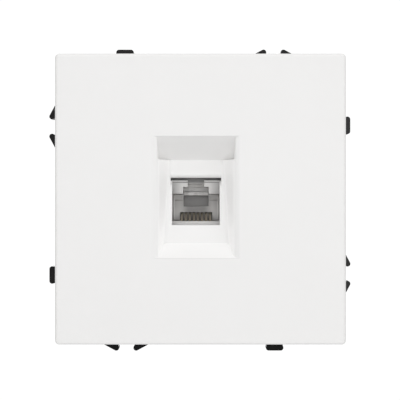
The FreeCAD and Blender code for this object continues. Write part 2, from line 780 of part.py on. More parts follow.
def make_support_plate():
    """Flat ring with four slots and two threaded collars pressed out to the back."""
    body = new_body("support_plate")
    opening = box_corners(
        s.jack_x, 0, HOUSING_HALF_X + s.housing_play, HOUSING_HALF_Z + s.housing_play
    )
    slab(
        body, "sheet",
        [box_corners(0, 0, PLATE_HALF, PLATE_HALF, s.plate_corner), opening],
        -s.plate_thick, ZERO,
    )
    slot_half = s.wall_slot_length / 2
    slot_end = s.wall_slot_width / 2
    slot = new_sketch(body, "wall_slot_sketch", "XZ_Plane", -s.plate_thick)
    draw_slot(slot, s.wall_spacing / 2, slot_half - slot_end, slot_end)
    slots = pocket(body, "wall_slot", slot, s.plate_thick, True)
    repeat_round(body, "wall_slots", [slots])
    places = [s.jack_x + FRAME_SCREW_X * side for side in SIDES]
    collar = s.screw_radius + s.screw_play + s.plate_thick * 0.7
    slab(body, "collars", [], -s.plate_thick / 2, s.plate_thick,
         [(x, 0, collar) for x in places])
    hole(body, "threads", [], -s.plate_thick, s.plate_thick,
         [(x, 0, s.screw_radius + s.screw_play) for x in places])
    clear = s.leg_wall / 2 + s.leg_hook / 2 + s.leg_play
    hole(
        body, "leg_windows",
        [
            box_corners((s.leg_x + s.leg_hook / 2) * x, LEG_Z * z, clear,
                        s.leg_width / 2 + s.leg_play)
            for x, z in CORNERS
        ],
        -s.plate_thick, ZERO,
    )
    return body


def draw_slot(sketch, x, reach, radius):
    """A round-ended slot along X about (x, 0)."""
    up = Vector(0, 0, 1)
    right = Part.ArcOfCircle(
        Part.Circle(Vector(x.value + reach.value, 0, 0), up, radius.value),
        -math.pi / 2, math.pi / 2,
    )
    left = Part.ArcOfCircle(
        Part.Circle(Vector(x.value - reach.value, 0, 0), up, radius.value),
        math.pi / 2, 3 * math.pi / 2,
    )
    right_id = sketch.addGeometry(right, False)
    left_id = sketch.addGeometry(left, False)
    top = Part.LineSegment(
        Vector(x.value + reach.value, radius.value, 0),
        Vector(x.value - reach.value, radius.value, 0),
    )
    bottom = Part.LineSegment(
        Vector(x.value - reach.value, -radius.value, 0),
        Vector(x.value + reach.value, -radius.value, 0),
    )
    top_id = sketch.addGeometry(top, False)
    bottom_id = sketch.addGeometry(bottom, False)
    sketch.addConstraint(Sketcher.Constraint("Tangent", right_id, 2, top_id, 1))
    sketch.addConstraint(Sketcher.Constraint("Tangent", top_id, 2, left_id, 1))
    sketch.addConstraint(Sketcher.Constraint("Tangent", left_id, 2, bottom_id, 1))
    sketch.addConstraint(Sketcher.Constraint("Tangent", bottom_id, 2, right_id, 1))
    pin_point(sketch, right_id, 3, (x + reach, ZERO))
    pin_point(sketch, left_id, 3, (x - reach, ZERO))
    index = sketch.addConstraint(Sketcher.Constraint("Radius", right_id, radius.value))
    bind(sketch, f"Constraints[{index}]", radius)


# Module housing: the box that carries the socket and its board

def make_module_housing():
    """Open box with a front flange, a bulkhead round the shell and two board bosses."""
    body = new_body("module_housing")
    half_x, half_z = HOUSING_HALF_X, HOUSING_HALF_Z
    inner_x, inner_z = half_x - s.housing_wall, half_z - s.housing_wall
    bulkhead_y = JACK_Y + s.bulkhead_depth
    slab(
        body, "flange",
        [box_corners(s.jack_x, 0, FLANGE_HALF_X, FLANGE_HALF_Z)],
        FLANGE_Y, BASE_Y,
    )
    slab(
        body, "box",
        [box_corners(s.jack_x, 0, half_x, half_z, s.carrier_corner)],
        BASE_Y, BOARD_BACK_Y,
    )
    hole(
        body, "front_hollow",
        [box_corners(s.jack_x, 0, inner_x, inner_z)],
        FLANGE_Y, bulkhead_y,
    )
    hole(
        body, "back_hollow",
        [box_corners(s.jack_x, 0, inner_x, inner_z)],
        bulkhead_y + s.bulkhead, BOARD_BACK_Y,
    )
    hole(
        body, "shell_opening",
        [box_corners(s.jack_x, (ROOF_TOP + SHELL_BOTTOM) / 2, SHELL_HALF + s.jack_play,
                     (ROOF_TOP - SHELL_BOTTOM) / 2 + s.jack_play)],
        bulkhead_y, bulkhead_y + s.bulkhead,
    )
    places = [(s.jack_x + BOARD_SCREW_X * side, BOARD_SCREW_Z * side) for side in SIDES]
    boss_reach = s.screw_radius + s.boss_wall
    low_x, low_z = BOARD_SCREW_X - boss_reach, BOARD_SCREW_Z - boss_reach
    high_x, high_z = inner_x + s.housing_wall / 2, inner_z + s.housing_wall / 2
    bosses = [
        box_corners(s.jack_x + (low_x + high_x) / 2 * side, (low_z + high_z) / 2 * side,
                    (high_x - low_x) / 2, (high_z - low_z) / 2)
        for side in SIDES
    ]
    slab(body, "bosses", bosses, bulkhead_y + s.bulkhead, BOARD_Y)
    hole(
        body, "boss_holes", [], BOARD_Y - s.board_screw_length, BOARD_Y,
        [(x, z, s.screw_radius + s.screw_play) for x, z in places],
    )
    hole(
        body, "flange_holes", [], FLANGE_Y, BASE_Y,
        [(s.jack_x + FRAME_SCREW_X * side, 0, s.screw_radius + s.screw_pass) for side in SIDES],
    )
    return body


# Socket shell, comb and contacts

def make_jack_shell():
    """Plug opening with its stepped latch notch, and eight channels under the floor."""
    body = new_body("jack_shell")
    middle_x = s.jack_x
    slab(
        body, "block",
        [box_corners(middle_x, (ROOF_TOP + SHELL_BOTTOM) / 2, SHELL_HALF,
                     (ROOF_TOP - SHELL_BOTTOM) / 2)],
        JACK_Y, BOARD_Y,
    )
    hole(
        body, "low_front",
        [box_corners(middle_x, ROOF_TOP, SHELL_HALF + s.jack_wall, s.jack_roof)],
        JACK_Y, JACK_Y + s.jack_step,
    )
    hole(
        body, "plug_opening",
        [box_corners(middle_x, s.socket_floor + s.socket_height / 2, s.socket_width / 2,
                     s.socket_height / 2)],
        JACK_Y, BOARD_Y,
    )
    hole(
        body, "latch_notch",
        [box_corners(middle_x, SOCKET_TOP + s.notch_height / 2, s.notch_width / 2,
                     s.notch_height / 2)],
        JACK_Y, COMB_Y,
    )
    key_half = s.key_width / 2
    hole(
        body, "key_notch",
        [box_corners(middle_x, NOTCH_TOP + s.key_height / 2, key_half, s.key_height / 2)],
        JACK_Y, JACK_Y + s.jack_step,
    )
    low_height = s.key_height - s.key_step
    hole(
        body, "low_key_notch",
        [box_corners(middle_x, NOTCH_TOP + low_height / 2, key_half, low_height / 2)],
        JACK_Y + s.jack_step, COMB_Y - s.well_end,
    )
    groove_low = SOCKET_TOP - s.comb_play * 3 + s.comb_bar_height
    hole(
        body, "bar_groove",
        [box_corners(middle_x, groove_low + s.groove_height / 2, s.notch_width / 2,
                     s.groove_height / 2)],
        COMB_Y, COMB_Y + s.comb_brow,
    )
    ridge_half = (SHELL_HALF - key_half) / 2
    slab(
        body, "ridges",
        [box_corners(middle_x + (key_half + ridge_half) * side, SHELL_TOP - s.ridge_height / 2,
                     ridge_half, s.ridge_height / 2) for side in SIDES],
        JACK_Y - s.ridge_stand, JACK_Y,
    )
    wedge = [
        (JACK_Y, s.socket_floor),
        (JACK_Y, s.socket_floor - s.lead_in),
        (JACK_Y + s.lead_in, s.socket_floor),
    ]
    sketch = new_sketch(body, "lead_in_sketch", "YZ_Plane",
                        middle_x - s.socket_width / 2, [wedge])
    pocket(body, "lead_in", sketch, s.socket_width, True)
    first = s.jack_x - s.contact_pitch * ((CONTACTS - 1) / 2)
    channel_half = s.contact_width / 2 + s.contact_play
    channel = hole(
        body, "channel",
        [box_corners(first, s.socket_floor - s.channel_depth / 2, channel_half,
                     s.channel_depth / 2)],
        JACK_Y + s.contact_front - s.contact_thick - s.contact_play * 2, BOARD_Y,
    )
    repeat_along(body, "channels", [channel], "X_Axis", s.contact_pitch, CONTACTS)
    slab(
        body, "pegs", [], BOARD_Y, BOARD_BACK_Y + s.board_thick / 4,
        [(middle_x + PEG_X * side, PEG_Z, s.peg_radius) for side in SIDES],
    )
    return body


def make_contact_comb():
    """Back wall of the plug opening: proud upper band, pocket, bar and mouth over the contacts."""
    body = new_body("contact_comb")
    half = s.socket_width / 2 - s.comb_play
    low = s.socket_floor + s.comb_play
    high = SOCKET_TOP - s.comb_play
    slab(
        body, "block",
        [box_corners(s.jack_x, (low + high) / 2, half, (high - low) / 2)],
        COMB_Y, BOARD_Y,
    )
    slab(
        body, "brow",
        [box_corners(s.jack_x, high - s.comb_brow_height / 2, half, s.comb_brow_height / 2)],
        COMB_Y - s.comb_brow, COMB_Y,
    )
    bar_half = s.notch_width / 2 - s.comb_play
    pocket_top = high - s.comb_play
    hole(
        body, "pocket",
        [box_corners(s.jack_x, pocket_top - s.comb_pocket_height / 2, s.notch_width / 2,
                     s.comb_pocket_height / 2)],
        COMB_Y - s.comb_brow, COMB_Y + s.comb_pocket_depth,
    )
    bar_low = high - s.comb_play * 2
    slab(
        body, "bar",
        [box_corners(s.jack_x, bar_low + s.comb_bar_height / 2, bar_half,
                     s.comb_bar_height / 2)],
        COMB_Y - s.comb_brow - s.comb_play, COMB_Y - s.comb_play,
    )
    mouth_half = (s.contact_pitch * CONTACTS + s.comb_margin) / 2
    mouth_height = s.contact_rise - s.comb_drop
    hole(
        body, "mouth",
        [box_corners(s.jack_x, low + mouth_height / 2, mouth_half, mouth_height / 2)],
        COMB_Y, BOARD_Y - s.comb_brow,
    )
    gap_first = s.jack_x - s.contact_pitch * ((CONTACTS - 2) / 2)
    rib_half = (s.contact_pitch - s.contact_width) / 2 - s.rib_play
    rib = slab(
        body, "rib",
        [box_corners(gap_first, low + mouth_height / 2, rib_half, mouth_height / 2)],
        COMB_Y + s.comb_brow * 1.5, BOARD_Y - s.comb_brow / 2,
    )
    repeat_along(body, "ribs", [rib], "X_Axis", s.contact_pitch, CONTACTS - 1)
    return body


def make_contact(number):
    """A spring contact: flat run in its channel, front bend, and the free end rising back."""
    body = new_body(f"contact_wire_{number}")
    thick = s.contact_thick
    run_low = CHANNEL_Z + s.contact_play
    front = JACK_Y + s.contact_front
    bend = s.contact_bend
    rise_y = COMB_Y + s.comb_brow
    rise_z = s.socket_floor + s.contact_rise - thick - s.comb_play
    nose_low = run_low + thick + bend * 2
    outline = [
        (front - thick, run_low, bend + thick),
        (BOARD_BACK_Y + s.contact_tail, run_low),
        (BOARD_BACK_Y + s.contact_tail, run_low + thick),
        (front, run_low + thick),
        (front, nose_low),
        (rise_y, rise_z - thick),
        (rise_y, rise_z),
        (front - thick, nose_low + thick, bend + thick),
    ]
    sketch = new_sketch(body, "strip_sketch", "YZ_Plane", -s.contact_width / 2, [outline])
    pad(body, "strip", sketch, s.contact_width, True)
    offset = s.contact_pitch * (number - (CONTACTS + 1) / 2)
    move(body, x=s.jack_x + offset)
    return body


# Circuit board with its terminals

def terminal_rows():
    """Heights of the four blades of a block."""
    return [s.terminal_pitch * (i - (TERMINALS - 1) / 2) for i in range(TERMINALS)]


def make_circuit_board():
    """Board with plated slots for contact and blade tails, and holes for pegs and screws."""
    body = new_body("circuit_board")
    lead_z = CHANNEL_Z + s.contact_play + s.contact_thick / 2
    slots = [
        box_corners(s.jack_x + s.contact_pitch * (i - (CONTACTS - 1) / 2), lead_z,
                    s.contact_width / 2 + s.lead_play, s.contact_thick / 2 + s.lead_play)
        for i in range(CONTACTS)
    ]
    slots += [
        box_corners(s.jack_x + TERMINAL_X * side, height,
                    s.blade_thick / 2 + s.lead_play, s.blade_tail / 2 + s.lead_play)
        for side in SIDES
        for height in terminal_rows()
    ]
    pegs = [(s.jack_x + PEG_X * side, PEG_Z, s.peg_radius + s.peg_play) for side in SIDES]
    screws = [
        (s.jack_x + BOARD_SCREW_X * side, BOARD_SCREW_Z * side, s.screw_radius + s.screw_pass)
        for side in SIDES
    ]
    outline = box_corners(s.jack_x, 0, BOARD_HALF_X, BOARD_HALF_Z)
    slab(body, "board", [outline] + slots, BOARD_Y, BOARD_BACK_Y, pegs + screws)
    return body


def make_terminal_block(name, side):
    """Block with four wire slots between bevelled teeth, and a pocket for each blade."""
    body = new_body(name)
    middle = s.jack_x + TERMINAL_X * side
    end = BOARD_BACK_Y + s.terminal_depth
    slab(
        body, "block",
        [box_corners(middle, 0, s.terminal_width / 2, TERMINAL_HALF)],
        BOARD_BACK_Y, end,
    )
    slots = []
    pockets = []
    for height in terminal_rows():
        slots.append(
            [
                (end - s.wire_slot_depth, height - s.wire_slot / 2),
                (end - s.tooth_bevel, height - s.wire_slot / 2),
                (end, height - s.wire_slot / 2 - s.tooth_bevel / 2),
                (end, height + s.wire_slot / 2 + s.tooth_bevel / 2),
                (end - s.tooth_bevel, height + s.wire_slot / 2),
                (end - s.wire_slot_depth, height + s.wire_slot / 2),
            ]
        )
        pockets.append(
            box_corners(middle, height, s.blade_thick / 2 + s.blade_play,
                        s.blade_width / 2 + s.blade_play)
        )
    sketch = new_sketch(body, "wire_slots_sketch", "YZ_Plane",
                        middle - s.terminal_width / 2, slots)
    pocket(body, "wire_slots", sketch, s.terminal_width, True)
    hole(body, "blade_pockets", pockets, BOARD_BACK_Y, end)
    return body


def make_blade(number):
    """A forked blade: two tines with a slit between them, and a tail through the board."""
    body = new_body(f"terminal_blade_{number}")
    side = -1 if number <= TERMINALS else 1
    height = terminal_rows()[(number - 1) % TERMINALS]
    back = BOARD_BACK_Y + s.terminal_depth - s.blade_sink
    half = s.blade_width / 2
    slit = s.blade_slit / 2
    tail = s.blade_tail / 2
    front = BOARD_Y - s.blade_tail_end
    seat = BOARD_BACK_Y + s.blade_play
    mouth = s.blade_width / 4
    outline = [
        (front, -tail),
        (seat, -tail),
        (seat, -half),
        (back, -half),
        (back, -mouth),
        (back - mouth, -slit),
        (back - s.blade_slit_depth, -slit),
        (back - s.blade_slit_depth, slit),
        (back - mouth, slit),
        (back, mouth),
        (back, half),
        (seat, half),
        (seat, tail),
        (front, tail),
    ]
    sketch = new_sketch(body, "blade_sketch", "YZ_Plane", -s.blade_thick / 2, [outline])
    pad(body, "blade", sketch, s.blade_thick, True)
    move(body, x=s.jack_x + TERMINAL_X * side, z=height)
    return body


# Screws

def screw_body(name, head_y, toward_wall, length, places):
    """One screw per place: a shank and a flat head with a cross recess."""
    way = 1 if toward_wall else -1
    top = head_y - s.screw_head_height * way
    tip = head_y + length * way
    body = new_body(name)
    heads = [(x, z, s.screw_head) for x, z in places]
    shanks = [(x, z, s.screw_radius) for x, z in places]
    first, last = (top, head_y) if toward_wall else (head_y, top)
    slab(body, "heads", [], first, last, heads)
    first, last = (head_y, tip) if toward_wall else (tip, head_y)
    slab(body, "shanks", [], first, last, shanks)
    depth = s.screw_head_height * 0.6
    arm = s.screw_head * 0.55
    width = s.screw_head * 0.13
    first, last = (top, top + depth) if toward_wall else (top - depth, top)
    crosses = [cross_corners(x, z, arm, width) for x, z in places]
    hole(body, "cross", crosses, first, last)
    return body


def cross_corners(x, z, arm, width):
    """Corners of a plus sign about (x, z)."""
    return [
        (x - arm, z - width), (x - width, z - width), (x - width, z - arm),
        (x + width, z - arm), (x + width, z - width), (x + arm, z - width),
        (x + arm, z + width), (x + width, z + width), (x + width, z + arm),
        (x - width, z + arm), (x - width, z + width), (x - arm, z + width),
    ]


def make_frame_screws():
    """Two screws from the flange through the carrier into the support plate."""
    places = [(s.jack_x + FRAME_SCREW_X * side, ZERO) for side in SIDES]
    return screw_body("frame_screws", FLANGE_Y, True, s.frame_screw_length, places)


def make_board_screws():
    """Two screws from behind the board into the housing's bosses."""
    places = [(s.jack_x + BOARD_SCREW_X * side, BOARD_SCREW_Z * side) for side in SIDES]
    length = s.board_screw_length + s.board_thick - s.screw_play * 4
    return screw_body("board_screws", BOARD_BACK_Y, False, length, places)


def check_document():
    """Stop if any object of the document failed."""
    doc.recompute()
    bad = [
        f"{item.Label}: {item.State}"
        for item in doc.Objects
        if "Invalid" in item.State or "Error" in item.State
    ]
    if bad:
        raise ValueError("failed objects: " + ", ".join(bad))


def export(nodes):
    """Write each sub-part to its own file after checking its shape."""
    check_document()
    for node in nodes:
        if node.Shape.isNull() or not node.Shape.isValid():
            raise ValueError(f"{node.Label} has no valid shape")
    os.makedirs("parts", exist_ok=True)
    for node in nodes:
        node.Shape.exportStep(f"parts/{node.Label}.step")
        shape = node.Shape
        print(f"{node.Label}: {len(shape.Solids)} solids, {shape.Volume:.1f} mm3")


nodes = [
    make_front_cover(),
    make_carrier_frame(),
    make_support_plate(),
    make_module_housing(),
    make_jack_shell(),
    make_contact_comb(),
    make_circuit_board(),
    make_terminal_block("terminal_block_left", -1),
    make_terminal_block("terminal_block_right", 1),
    make_frame_screws(),
    make_board_screws(),
]
nodes += [make_contact(number) for number in range(1, CONTACTS + 1)]
nodes += [make_blade(number) for number in range(1, 2 * TERMINALS + 1)]
export(nodes)
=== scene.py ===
import math

import bpy
import numpy as np
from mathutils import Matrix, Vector


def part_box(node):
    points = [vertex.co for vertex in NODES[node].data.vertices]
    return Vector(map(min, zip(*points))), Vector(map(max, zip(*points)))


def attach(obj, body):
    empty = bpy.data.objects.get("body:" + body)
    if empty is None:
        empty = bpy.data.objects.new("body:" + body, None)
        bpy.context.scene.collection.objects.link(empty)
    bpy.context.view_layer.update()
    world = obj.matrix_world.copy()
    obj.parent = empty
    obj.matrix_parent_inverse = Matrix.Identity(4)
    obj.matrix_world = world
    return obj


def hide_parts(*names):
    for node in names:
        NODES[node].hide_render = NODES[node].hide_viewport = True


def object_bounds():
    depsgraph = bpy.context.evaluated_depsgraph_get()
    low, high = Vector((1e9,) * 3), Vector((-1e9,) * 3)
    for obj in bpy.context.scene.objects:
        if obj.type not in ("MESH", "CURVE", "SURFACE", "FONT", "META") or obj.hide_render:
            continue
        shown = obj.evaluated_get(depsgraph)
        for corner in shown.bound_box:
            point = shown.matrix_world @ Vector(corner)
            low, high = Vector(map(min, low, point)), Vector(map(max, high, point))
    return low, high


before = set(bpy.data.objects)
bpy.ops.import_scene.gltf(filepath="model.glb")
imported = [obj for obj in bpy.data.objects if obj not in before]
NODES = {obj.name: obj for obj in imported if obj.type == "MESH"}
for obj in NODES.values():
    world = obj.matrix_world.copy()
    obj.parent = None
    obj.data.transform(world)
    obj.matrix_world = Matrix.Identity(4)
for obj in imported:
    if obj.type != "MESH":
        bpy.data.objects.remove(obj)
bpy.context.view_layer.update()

MM = 0.001

CONTACT_NAMES = [f"contact_wire_{i}" for i in range(1, 9)]
BLADE_NAMES = [f"terminal_blade_{i}" for i in range(1, 9)]


def middle_x(name):
    """A node's middle along X."""
    low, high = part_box(name)
    return (low.x + high.x) / 2


def shifted(place, band):
    """Both ends of a band that is given from a place."""
    return [place + step for step in band]


def put(thing):
    """Put an object in the scene."""
    bpy.context.scene.collection.objects.link(thing)


# Camera: square to the cover, 300 mm in front of its face. The photograph shows the 70 mm cover
# 291.4 pixels wide, with its middle at (200.45, 199.05) of 400

PHOTO_SIDE = 400
COVER_SIDE = 70 * MM
COVER_PIXELS = 291.4
COVER_MIDDLE = (200.45, 199.05)
VIEW_DISTANCE = 300 * MM
PIXEL = COVER_SIDE / COVER_PIXELS
SENSOR = 36.0
NEAREST_SEEN = 10 * MM
FARTHEST_SEEN = 10


def make_camera():
    """Stand the camera where the cover's middle falls on its pixel of the photograph."""
    low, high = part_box("front_cover")
    middle_z = (low.z + high.z) / 2
    data = bpy.data.cameras.new("photo_camera")
    data.sensor_width = SENSOR
    data.lens = SENSOR * VIEW_DISTANCE / (PHOTO_SIDE * PIXEL)
    data.clip_start = NEAREST_SEEN
    data.clip_end = FARTHEST_SEEN
    camera = bpy.data.objects.new("photo_camera", data)
    camera.location = (
        middle_x("front_cover") - (COVER_MIDDLE[0] - PHOTO_SIDE / 2) * PIXEL,
        low.y - VIEW_DISTANCE,
        middle_z - (PHOTO_SIDE / 2 - COVER_MIDDLE[1]) * PIXEL,
    )
    camera.rotation_euler = (math.radians(90), 0, 0)
    put(camera)
    bpy.context.scene.camera = camera


# Light: an even white room, and large soft panels that all face the cover. For each panel: place
# and side in metres, and power in watts

ROOM_LIGHT = 0.66
BACKGROUND = 1.05
LIT_POINT = Vector((0, -0.011, 0))
PANELS = {
    "front_panel": ((0.015, -0.75, 0.09), 0.35, 1.25),
    "top_panel": ((0.05, -0.45, 0.60), 0.45, 0.15),
    "right_panel": ((0.55, -0.50, 0.10), 0.40, 0.70),
    "left_panel": ((-0.55, -0.50, 0.10), 0.40, 0.35),
    "back_panel": ((-0.10, 0.80, 0.12), 0.40, 1.2),
}


def make_room():
    """White surroundings: bright where the camera sees them, dimmer where they light the part."""
    world = bpy.data.worlds.new("white_room")
    bpy.context.scene.world = world
    world.use_nodes = True
    tree = world.node_tree
    tree.nodes.clear()
    seen = tree.nodes.new("ShaderNodeBackground")
    seen.inputs["Strength"].default_value = BACKGROUND
    lighting = tree.nodes.new("ShaderNodeBackground")
    lighting.inputs["Strength"].default_value = ROOM_LIGHT
    for node in (seen, lighting):
        node.inputs["Color"].default_value = (1, 1, 1, 1)
    path = tree.nodes.new("ShaderNodeLightPath")
    mix = tree.nodes.new("ShaderNodeMixShader")
    out = tree.nodes.new("ShaderNodeOutputWorld")
    tree.links.new(path.outputs["Is Camera Ray"], mix.inputs["Fac"])
    tree.links.new(lighting.outputs[0], mix.inputs[1])
    tree.links.new(seen.outputs[0], mix.inputs[2])
    tree.links.new(mix.outputs[0], out.inputs["Surface"])


def make_lights():
    """Square softboxes, and the plain colour transform of a product photograph."""
    for name, (place, side, power) in PANELS.items():
        data = bpy.data.lights.new(name, "AREA")
        data.shape = "SQUARE"
        data.size = side
        data.energy = power
        light = bpy.data.objects.new(name, data)
        light.location = place
        light.visible_camera = False
        way = LIT_POINT - Vector(place)
        light.rotation_euler = way.to_track_quat("-Z", "Y").to_euler()
        put(light)
    view = bpy.context.scene.view_settings
    view.view_transform = "Standard"
    view.look = "None"


# Materials: each is a shader on Object coordinates, in metres, with linear colours

NOISE_RANGE = (0.3, 0.7)
BEVEL_SAMPLES = 6


class Surface:
    """A material being put together: its nodes, its shader and its object coordinates."""

    def __init__(self, name, **sockets):
        self.material = bpy.data.materials.new(name)
        self.material.use_nodes = True
        self.tree = self.material.node_tree
        self.shader = self.tree.nodes["Principled BSDF"]
        for socket, value in sockets.items():
            self.shader.inputs[socket.replace("_", " ")].default_value = value
        coordinates = self.node("ShaderNodeTexCoord")
        self.place = coordinates.outputs["Object"]
        self.outward = coordinates.outputs["Normal"]
        self.colour = None
        self.normal = None

    def node(self, kind, **settings):
        """Add a node; a setting names an attribute or an input socket."""
        node = self.tree.nodes.new(kind)
        for name, value in settings.items():
            if hasattr(node, name):
                setattr(node, name, value)
            else:
                node.inputs[name.replace("_", " ")].default_value = value
        return node

    def link(self, start, end):
        """Join an output to an input."""
        self.tree.links.new(start, end)

    def noise(self, size, detail=3.0, stretch=(1, 1, 1)):
        """Noise with features of a size in metres, drawn out along an axis by its stretch."""
        mapping = self.node("ShaderNodeMapping")
        mapping.inputs["Scale"].default_value = tuple(1 / s for s in stretch)
        self.link(self.place, mapping.inputs["Vector"])
        noise = self.node("ShaderNodeTexNoise", Scale=1 / size, Detail=detail)
        self.link(mapping.outputs[0], noise.inputs["Vector"])
        return noise.outputs["Fac"]

    def spread(self, value, low, high, start, end, curve="LINEAR"):
        """Map a value's stretch from start to end onto low to high."""
        node = self.node("ShaderNodeMapRange", interpolation_type=curve)
        node.inputs["From Min"].default_value = start
        node.inputs["From Max"].default_value = end
        node.inputs["To Min"].default_value = low
        node.inputs["To Max"].default_value = high
        self.link(value, node.inputs["Value"])
        return node.outputs["Result"]

    def maths(self, operation, first, second=0.0):
        """Work out a value from two others."""
        node = self.node("ShaderNodeMath", operation=operation)
        for socket, value in zip(node.inputs, (first, second)):
            if isinstance(value, float):
                socket.default_value = value
            else:
                self.link(value, socket)
        return node.outputs[0]

    def part(self, vector, axis):
        """A vector's part along an axis."""
        split = self.node("ShaderNodeSeparateXYZ")
        self.link(vector, split.inputs[0])
        return split.outputs[axis]

    def ramp(self, axis, start, end, middle=None):
        """A mask that goes smoothly from 0 at one place on an axis to 1 at another. With a middle,
        the two are distances from it, to either side."""
        place = self.part(self.place, axis)
        if middle is not None:
            place = self.maths("ABSOLUTE", self.maths("SUBTRACT", place, middle))
        return self.spread(place, 0.0, 1.0, start, end, "SMOOTHSTEP")

    def facing(self, axis, start, end):
        """A mask that goes smoothly from 0 to 1 as the outward direction's part along an axis goes
        from start to end."""
        return self.spread(self.part(self.outward, axis), 0.0, 1.0, start, end, "SMOOTHSTEP")

    def both(self, *masks):
        """Where all of several masks are 1."""
        joint = masks[0]
        for mask in masks[1:]:
            joint = self.maths("MULTIPLY", joint, mask)
        return joint

    def lay(self, colour):
        """Make a colour output the base colour."""
        self.colour = colour
        self.link(colour, self.shader.inputs["Base Color"])

    def tint(self, value, dark, light):
        """Blend the base colour from a dark to a light one by a value."""
        mix = self.node("ShaderNodeMix", data_type="RGBA")
        mix.inputs["A"].default_value = (*dark, 1)
        mix.inputs["B"].default_value = (*light, 1)
        self.link(value, mix.inputs["Factor"])
        self.lay(mix.outputs["Result"])

    def overlay(self, mask, colour):
        """Lay another colour over the base colour where a mask is 1."""
        mix = self.node("ShaderNodeMix", data_type="RGBA")
        mix.inputs["B"].default_value = (*colour, 1)
        self.link(self.colour, mix.inputs["A"])
        self.link(mask, mix.inputs["Factor"])
        self.lay(mix.outputs["Result"])

    def roughness(self, value, low, high):
        """Let the roughness vary between two values."""
        varied = self.spread(value, low, high, *NOISE_RANGE)
        self.link(varied, self.shader.inputs["Roughness"])

    def soften(self, radius):
        """Round the look of hard edges by a radius."""
        bevel = self.node("ShaderNodeBevel", samples=BEVEL_SAMPLES, Radius=radius)
        self.normal = bevel.outputs["Normal"]
        self.link(self.normal, self.shader.inputs["Normal"])

    def grain(self, height, depth, strength):
        """Raise the surface by a height map."""
        bump = self.node("ShaderNodeBump", Strength=strength, Distance=depth)
        self.link(height, bump.inputs["Height"])
        if self.normal:
            self.link(self.normal, bump.inputs["Normal"])
        self.normal = bump.outputs["Normal"]
        self.link(self.normal, self.shader.inputs["Normal"])


# Bands on the cover and their whites. Painted light makes the recess, its cheeks, sill, ceiling and
# upper corners and the plate's top edge whiter, and painted shade makes its side edges darker. A
# band's first number is where it starts to show, and its second where it is full. Depths are from
# the face, edge bands from the plate's edges, and turns are parts of the outward direction along an
# axis

FACE_WHITES = (0.810, 0.805, 0.799), (0.830, 0.825, 0.819)
# Painted light: the recess, its cheeks, sill, ceiling and upper corners whiter than the face
RECESS_PAINTED_LIGHT = (0.840, 0.836, 0.830)
RECESS_DEPTHS = (0.05 * MM, 0.3 * MM)
CHEEK_PAINTED_LIGHT = (0.980, 0.975, 0.968)
CHEEK_TURN = (0.60, 0.90)
SILL_PAINTED_LIGHT = (0.965, 0.960, 0.953)
SILL_TURN = (0.30, 0.50)
CEILING_PAINTED_LIGHT = (0.855, 0.850, 0.843)
CEILING_TURN = (-0.70, -0.90)
CORNER_PAINTED_LIGHT = (0.985, 0.980, 0.973)
CORNER_X = (5.0 * MM, 8.4 * MM)
CORNER_DEPTHS = (2.0 * MM, 7.0 * MM)
EDGE_BAND = (-0.9 * MM, -0.1 * MM)
# Painted shade on the left and right edges, painted light on the top edge
SIDE_EDGE_PAINTED_SHADE = (0.76, 0.755, 0.745)
TOP_EDGE_PAINTED_LIGHT = (0.90, 0.895, 0.885)


def satin_white():
    """White centre plate: satin skin with a fine spark-eroded grain and faint flow tone. Painted
    light makes the recess whiter than the face, most of all its sill, cheeks, ceiling and upper
    corners, and the plate's top edge whiter; painted shade makes its left and right edges darker."""
    surface = Surface("cover_white_satin", IOR=1.5)
    surface.tint(surface.noise(14 * MM, detail=2.0), *FACE_WHITES)
    low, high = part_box("front_cover")
    # Painted light whitens the recess, then its cheeks, sill, ceiling and the ceiling's corners
    recess = surface.ramp("Y", *shifted(low.y, RECESS_DEPTHS))
    surface.overlay(recess, RECESS_PAINTED_LIGHT)
    for side in (-1, 1):
        turn = surface.facing("X", *(side * share for share in CHEEK_TURN))
        surface.overlay(surface.both(recess, turn), CHEEK_PAINTED_LIGHT)
    sill = surface.both(recess, surface.facing("Z", *SILL_TURN))
    surface.overlay(sill, SILL_PAINTED_LIGHT)
    ceiling = surface.both(recess, surface.facing("Z", *CEILING_TURN))
    surface.overlay(ceiling, CEILING_PAINTED_LIGHT)
    corners = surface.both(
        ceiling,
        surface.ramp("X", *CORNER_X, middle_x("contact_comb")),
        surface.ramp("Y", *shifted(low.y, CORNER_DEPTHS)),
    )
    surface.overlay(corners, CORNER_PAINTED_LIGHT)
    # Painted shade darkens the left and right edges; painted light whitens the top edge
    surface.overlay(surface.ramp("X", *shifted(high.x, EDGE_BAND), 0.0), SIDE_EDGE_PAINTED_SHADE)
    surface.overlay(surface.ramp("Z", *shifted(high.z, EDGE_BAND)), TOP_EDGE_PAINTED_LIGHT)
    surface.roughness(surface.noise(1.2 * MM), 0.42, 0.52)
    surface.soften(0.22 * MM)
    surface.grain(surface.noise(0.16 * MM, detail=2.0), depth=0.006 * MM, strength=0.6)
    return surface.material


# Blacks of the carrier, and the painted light that makes it paler towards three of its edges

CARRIER_BLACKS = (0.001, 0.001, 0.0011), (0.003, 0.003, 0.0032)
CARRIER_EDGE = (33 * MM, 36 * MM)
CARRIER_LEFT_PAINTED_LIGHT = (0.007, 0.007, 0.0071)
CARRIER_TOP_PAINTED_LIGHT = (0.010, 0.010, 0.0101)
CARRIER_RIGHT_PAINTED_LIGHT = (0.028, 0.028, 0.0281)


